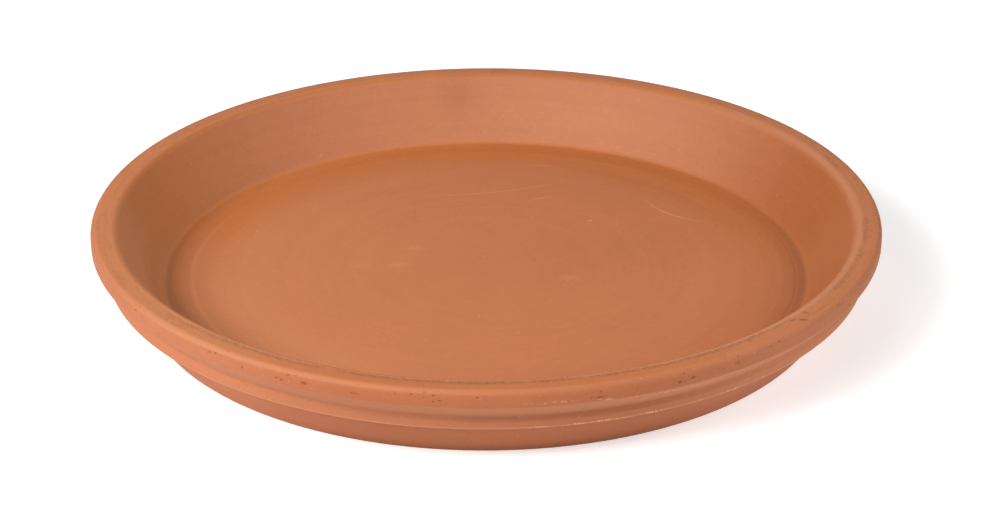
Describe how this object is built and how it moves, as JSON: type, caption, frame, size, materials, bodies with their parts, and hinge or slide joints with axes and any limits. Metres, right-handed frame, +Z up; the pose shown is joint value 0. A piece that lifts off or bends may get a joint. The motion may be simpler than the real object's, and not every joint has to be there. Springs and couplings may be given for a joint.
{
  "type": "plant pot saucer",
  "caption": "Shallow round terracotta saucer with a thick rounded lip, a raised band below it and a sloping inner wall, which stands under a plant pot and catches water.",
  "frame": {"origin": "centre of the flat underside, on the surface that the saucer stands on", "axes": "+Z up along the axis that the saucer was turned about; X and Y are any two square directions, because the shape is the same all round"},
  "size_m": [0.35, 0.35, 0.0389],
  "materials": {
    "terracotta": "unglazed fired clay, matte, orange-brown, faintly mottled, with fine turning lines"
  },
  "bodies": {
    "root": {"saucer": "terracotta"}
  },
  "joints": []
}
